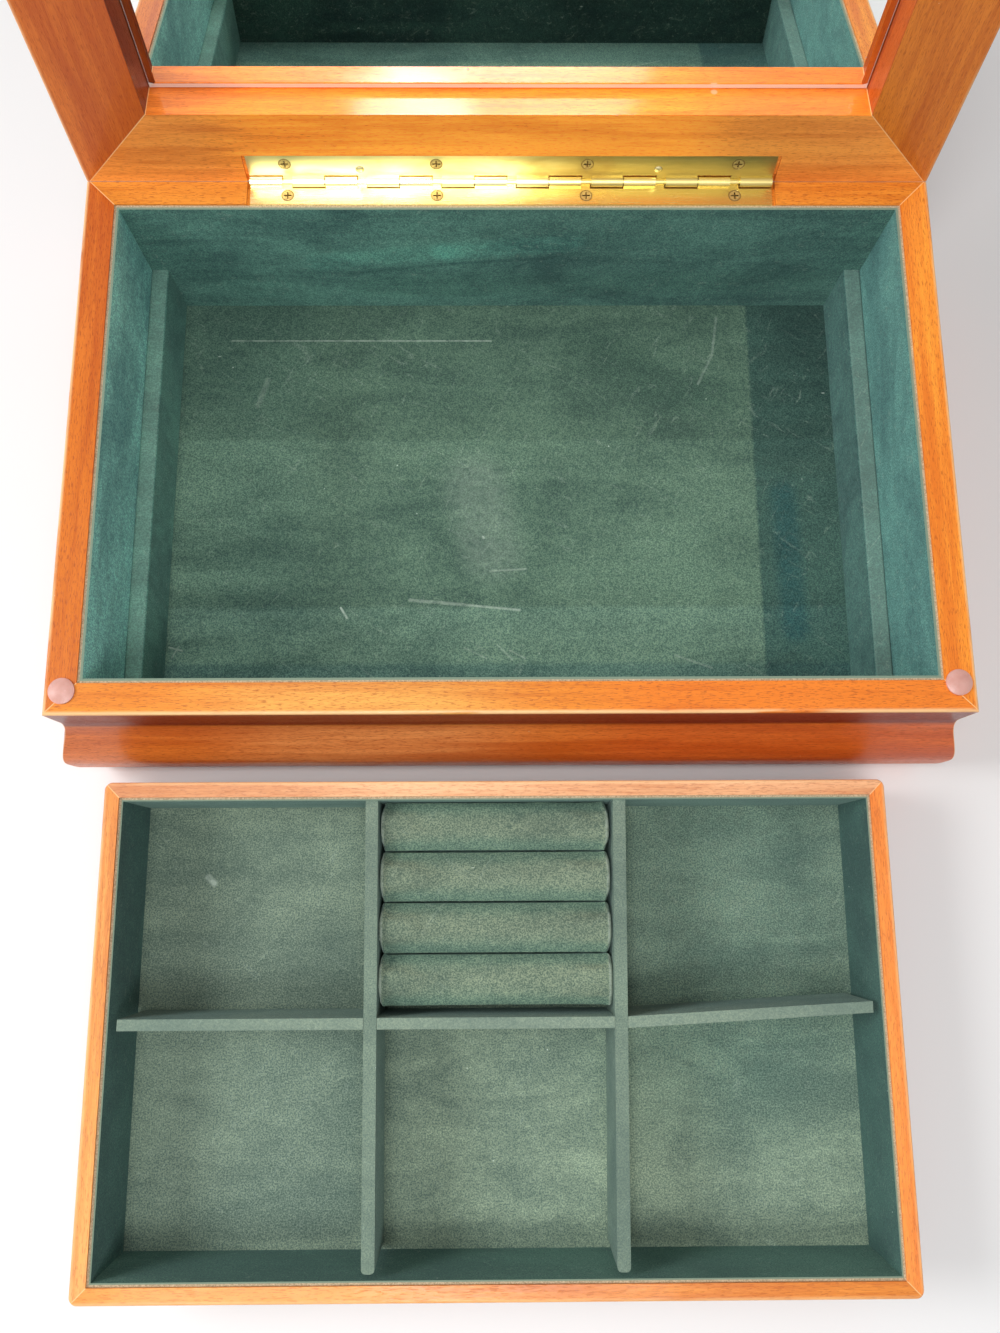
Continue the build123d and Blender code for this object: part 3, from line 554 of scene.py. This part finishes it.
def studio():
    """A pale floor, a white room, soft lamps above, in front and on the left, and two small ones for shine.

    The room lights things at WORLD_LEVEL, and the camera and polished things see it white."""
    world = bpy.data.worlds.new("white room")
    world.use_nodes = True
    bpy.context.scene.world = world
    tree = world.node_tree
    tree.nodes.clear()
    path = tree.nodes.new("ShaderNodeLightPath")
    seen = tree.nodes.new("ShaderNodeMath")
    seen.operation = "MAXIMUM"
    tree.links.new(path.outputs["Is Camera Ray"], seen.inputs[0])
    tree.links.new(path.outputs["Is Glossy Ray"], seen.inputs[1])
    level = tree.nodes.new("ShaderNodeMapRange")
    tree.links.new(seen.outputs[0], level.inputs["Value"])
    level.inputs["To Min"].default_value = WORLD_LEVEL
    level.inputs["To Max"].default_value = 1.0
    sky = tree.nodes.new("ShaderNodeBackground")
    sky.inputs["Color"].default_value = (1, 1, 1, 1)
    tree.links.new(level.outputs[0], sky.inputs["Strength"])
    out = tree.nodes.new("ShaderNodeOutputWorld")
    tree.links.new(sky.outputs[0], out.inputs["Surface"])

    f = Finish("pale floor")
    f.node("OutputMaterial", sockets={"Surface": f.node("BsdfDiffuse", sockets={"Color": (0.87, 0.87, 0.87, 1)})})
    corners = np.array([[[-3, -3, 0], [3, -3, 0]], [[-3, 3, 0], [3, 3, 0]]], float)
    floor = surface("floor", corners, False, f.material)
    light("overhead", (-0.14, -0.20, 1.05), (-0.005, -0.10, 0.03), 0.25, 2.5, (1.0, 1.0, 1.0))
    light("front", (0.02, -0.42, 0.64), (0, 0.02, 0.06), 0.25, 1.6, (1.0, 1.0, 1.0))
    light("window", (-0.95, -0.02, 0.84), (0, -0.08, 0.04), 0.55, 8.5, (1.0, 1.0, 1.0))
    light("glint", (-0.080, -0.375, 0.72), (-0.02, 0.09, 0.07), 0.12, 1.9, (1.0, 1.0, 1.0), True)
    light("low glint", (-0.17, -0.43, 0.42), (-0.04, 0.09, 0.07), 0.18, 0.85, (1.0, 1.0, 1.0), True)


def camera():
    """The photo's viewpoint, worked out from the rim, the lining and the lid in it."""
    eye = bpy.data.cameras.new("eye")
    eye.lens, eye.sensor_width = 1062.39 * 36 / 1333, 36
    holder = bpy.data.objects.new("eye", eye)
    turn = Euler((-0.2085, 0, 0)).to_matrix()
    turn = Euler((0, 0.0089, 0)).to_matrix() @ turn
    turn = Euler((0, 0, 0.0035)).to_matrix() @ turn
    holder.matrix_world = turn.transposed().to_4x4()
    holder.location = (-0.00653, -0.14361, 0.38603)
    bpy.context.collection.objects.link(holder)
    bpy.context.scene.camera = holder


CASE_WOOD = {"front": screen(222, 128, 38), "back": screen(215, 131, 46),
             "left": screen(203, 104, 28), "right": screen(250, 147, 46)}
LID_WOOD = {"rail_back": screen(244, 149, 62), "rail_front": screen(212, 118, 48),
            "stile_left": screen(208, 106, 34), "stile_right": screen(210, 115, 34)}
RUSSET = screen(212, 116, 44)
# Painted shade tints for the lid frame's inner walls, one for each rail and stile.
FRAME_WALL_SHADE = {"rail_back": (0.98, 0.74, 0.38, 1), "rail_front": (0.70, 0.45, 0.45, 1),
          "stile_left": (0.42, 0.30, 0.36, 1), "stile_right": (0.80, 0.55, 0.55, 1)}
# Tint patches: low, high, softness and tint. The case front's first, paler patch is painted sheen; the lid back
# rail's brighter middle is a painted reflection; the others are tone.
TINT_PATCHES_AND_SHEEN = {"case_front": ((-88.0, -6.0, 24.0, (1.06, 1.48, 3.0, 1)), (30.0, 200.0, 22.0, (1.0, 0.80, 0.78, 1))),
         "case_back": ((45.0, 200.0, 25.0, (1.18, 1.22, 1.15, 1)),),
         "rail_back": ((-88.0, 66.0, 15.0, (1.40, 1.36, 0.92, 1)),)}
# The back wall's paler peach tone is partly its own and partly painted glare on its rim.
TRAY_WOOD = {"front": screen(231, 140, 54), "back": screen(235, 174, 126), "left": screen(238, 156, 80),
             "right": screen(244, 140, 62)}
RIM_HALF = (RIM_W / 2, RIM_D / 2)
TRAY_HALF = (TRAY_W / 2, TRAY_D / 2)

# Each case wall takes painted shade on its fascia, and a pale arris that is part wear and part painted highlight.
for seed, side in enumerate(("front", "back", "left", "right")):
    along = "x" if side in ("front", "back") else "y"
    dress(hardwood("case wood " + side, "case", along, CASE_WOOD[side], RIM_HALF, RIM_TOP, seed, scuffed_and_highlit_share=0.9,
                   fascia_shade=(0.35, 0.125, 0.075, 1), flare=(1.0, 0.79, 1.12, 1), crisp=0.6,
                   tint_patches_and_sheen=TINT_PATCHES_AND_SHEEN.get("case_" + side, ())), "case_wall_" + side)
    dress(hardwood("tray wood " + side, "tray", along, TRAY_WOOD[side], TRAY_HALF, TRAY_TOP, seed + 4,
                   side=(0.36, 0.20, 0.16, 1)), "tray_wall_" + side)
for seed, rail in enumerate(LID_WOOD):
    along = "x" if rail.startswith("rail") else "y"
    dress(hardwood("lid wood " + rail, "lid", along, LID_WOOD[rail], RIM_HALF, 70.6, seed + 8,
                   gloss=0.45 if rail == "rail_back" else 0.10, frame_wall_shade=FRAME_WALL_SHADE[rail],
                   tint_patches_and_sheen=TINT_PATCHES_AND_SHEEN.get(rail, ())), "lid_" + rail)
dress(hardwood("lid wood panel", "lid", "x", RUSSET, (300, 500), 200, 13), "lid_panel")

FLOOR_MARKS = (
    ((-105.9, 64.9), (-5.9, 64.8), 0.9, 0.45),
    ((-91.4, 48.5), (-94.8, 37.8), 3.0, 0.20),
    ((-12.0, 6.0), (-6.0, -20.0), 34.0, 0.13),
    ((-9.2, -14.8), (-9.0, -15.2), 1.6, 0.70),
    ((-36.0, -39.0), (-15.8, -40.9), 1.8, 0.32),
    ((-15.8, -40.9), (4.3, -42.9), 1.3, 0.50),
    ((-6.6, -28.0), (6.7, -27.2), 1.2, 0.30),
    ((-61.2, -41.9), (-58.9, -45.7), 1.2, 0.75),
    ((81.8, 74.5), (79.5, 58.8), 1.4, 0.22),
    ((79.5, 58.8), (73.5, 46.7), 1.4, 0.22),
    ((60.5, -60.0), (73.7, -64.8), 1.1, 0.28),
    ((-123.0, -56.5), (-118.2, -57.8), 1.0, 0.45),
    ((-121.8, -60.4), (-119.5, -56.2), 0.9, 0.35),
    ((-16.0, -57.0), (-8.0, -61.0), 0.9, 0.30),
    ((-4.0, -56.0), (1.5, -61.5), 0.9, 0.35),
    ((0.5, -58.0), (6.0, -61.0), 0.9, 0.40),
)
# Floor panels: axis, line and tint. Painted light left of x = -60 brightens the floor where the left wall's
# shadow falls, and painted shade past x = 93 darkens it along the right; the others only tint it.
FLOOR_PANELS = (("y", 22.5, 24.8, (0.78, 0.80, 0.80, 1)), ("y", -40.5, -43.0, (1.34, 1.32, 1.36, 1)),
                ("x", -60.0, -95.0, (1.20, 1.24, 1.29, 1)), ("x", 92.6, 94.2, (0.42, 0.54, 0.62, 1)),
                ("y", -61.5, -64.5, (0.70, 0.78, 0.86, 1)))
CASE_GREEN = screen(83, 111, 96)
CARD_EDGE = (69.4, (RIM_W / 2 - CASE_WALL, RIM_D / 2 - CASE_WALL))
# Lit and shaded copies of one green, painted light and shade: the left lining is made much lighter though it
# faces away from the left lamp, and the front very dark, as it sits in deep shade.
LININGS = {"front": screen(36, 60, 56), "back": screen(76, 118, 110), "left": screen(120, 178, 175),
           "right": screen(87, 139, 135)}
# The first stroke is a painted shadow along the floor's right; the second only darkens a wide band.
FLOOR_TINT_AND_SHADOW_STROKES = (((103.5, 2.0), (105.0, -50.0), 15.0, (0.55, 0.78, 0.92, 1)),
                 ((30.0, 62.0), (78.0, 40.0), 30.0, (0.88, 0.92, 0.92, 1)))
dress(suede("floor suede", "case", CASE_GREEN, 1, marks=FLOOR_MARKS, lint=0.35, panels=FLOOR_PANELS,
            tint_and_light_strokes=FLOOR_TINT_AND_SHADOW_STROKES), "lining_floor")
# Painted light and shade of a fold in the back lining: a lighter band, a dark shadow line under it, and a darker
# lower zone.
FOLD_LIGHT_AND_SHADOW = (((-68.0, 38.5), (-22.0, 45.0), 16.0, (1.10, 1.22, 1.20, 1)),
             ((-22.0, 45.0), (22.0, 50.5), 15.0, (1.18, 1.36, 1.34, 1)),
             ((-58.0, 31.5), (-20.0, 38.0), 3.4, (0.66, 0.74, 0.76, 1)),
             ((-20.0, 38.0), (16.0, 41.7), 3.0, (0.58, 0.66, 0.70, 1)),
             ((-50.0, 23.0), (110.0, 27.0), 24.0, (0.84, 0.88, 0.86, 1)))
# The panel brightens each lining left of x = -50 as painted light, most of all the left lining.
for seed, (side, tone) in enumerate(LININGS.items()):
    brushed = (0.014, 0.03, 0.06) if side in ("front", "back") else (0.03, 0.012, 0.03)
    dress(suede("lining suede " + side, "case", tone, seed + 2, card=CARD_EDGE, brushed=brushed, contrast=1.35,
                panels=(("x", 40.0, -50.0, (1.20, 1.24, 1.22, 1)),), upright=True,
                tint_and_light_strokes=FOLD_LIGHT_AND_SHADOW if side == "back" else ()), "lining_" + side)
# Painted light: the left ledge, facing away from the left lamp, is made lighter than the right one.
dress(suede("ledge suede left", "case", screen(82, 131, 121), 7, pale_top=34.1, contrast=1.3), "tray_ledge_left")
dress(suede("ledge suede right", "case", screen(64, 103, 99), 8, pale_top=34.1, contrast=1.3), "tray_ledge_right")

TRAY_GREEN = screen(124, 145, 128)
TRAY_CARD = (33.2, (TRAY_W / 2 - 5.0, TRAY_D / 2 - 5.0))
dress(suede("tray floor suede", "tray", TRAY_GREEN, 9, lint=0.3, panels=(("y", 0.0, 8.0, (0.78, 0.79, 0.80, 1)),),
            tint_and_light_strokes=(((-85.0, -60.0), (-85.0, -10.0), 150.0, (0.80, 0.82, 0.86, 1)),
                     ((85.0, 60.0), (85.0, 10.0), 150.0, (0.78, 0.90, 0.92, 1))),
            marks=(((-101.0, 48.0), (-99.0, 46.0), 3.4, 0.6),)), "tray_floor")
TRAY_LININGS = {"front": screen(73, 110, 99), "back": screen(80, 108, 96), "left": screen(54, 90, 84),
                "right": screen(55, 90, 84)}
for seed, (side, tone) in enumerate(TRAY_LININGS.items()):
    dress(suede("tray lining " + side, "tray", tone, seed + 11, card=TRAY_CARD), "tray_lining_" + side)
dress(suede("divider suede", "tray", screen(93, 111, 98), 16, pale_top=32.5), "tray_divider_left",
      "tray_divider_right")
dress(suede("cross suede", "tray", screen(96, 111, 97), 17, pale_top=32.8, top_share=0.75), "tray_cross_left",
      "tray_cross_middle", "tray_cross_right")
dress(baize("base baize", (0.10, 0.20, 0.15, 1)), "base_felt")
dress(fibreboard("bottom board", "case", (0.42, 0.27, 0.14, 1)), "case_bottom_board")
dress(fibreboard("tray board", "tray", (0.42, 0.27, 0.14, 1)), "tray_bottom")
dress(fibreboard("mirror board", "lid", (0.36, 0.23, 0.13, 1)), "mirror_backing")
dress(sheet_brass("case leaf brass", "case", 0.20, 0.80), "hinge_leaf_case", "hinge_pin")
dress(sheet_brass("lid leaf brass", "lid", 0.30, 0.55), "hinge_leaf_lid")
dress(old_screw("case screws", "case", SCREW_PITCH, FIRST_SCREW, 84.8, 70.0, 2.1), "hinge_screws_case")
dress(old_screw("lid screws", "lid", SCREW_PITCH, FIRST_SCREW, 82.8, 70.6, 2.1), "hinge_screws_lid")
dress(old_screw("brads", "lid", BRAD_PITCH, HINGE_OFF_CENTRE + BRAD_LEFT, 84.9, 70.4, 1.4, (0.95, 0.84, 0.45, 1)),
      "hinge_brads_lid")
dress(silvered("mirror silver"), "mirror_glass")
dress(soft_bumper("aged bumper"), "bumper_left", "bumper_right")

ROLL_SLACK = 0.0006
ROLL_CROWN = 0.0031
ROLL_SOFT = 0.0010
ROLL_ROOM = 0.00824

ROLL_FELT = suede("roll felt", "tray", screen(107, 125, 108), 21, lint=0.3, shade_from_height=29.0,
                  pale_ends=(-0.3, 37.4), contrast=0.8,
                  panels=(("y", 24.0, 19.0, (1.20, 1.18, 1.16, 1)),))
rolls = []
for number in range(1, 5):
    low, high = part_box("ring_roll_%d" % number)
    rolls.append(surface("felt_roll_%d" % number, roll_grid(low, high, number), True, ROLL_FELT))
stuff(rolls)
for number, roll in enumerate(rolls, 1):
    finer = roll.modifiers.new("finer", "SUBSURF")
    finer.levels = finer.render_levels = 1
    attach(roll, "tray")
    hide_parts("ring_roll_%d" % number)

studio()
camera()
bpy.context.scene.view_settings.view_transform = "Standard"
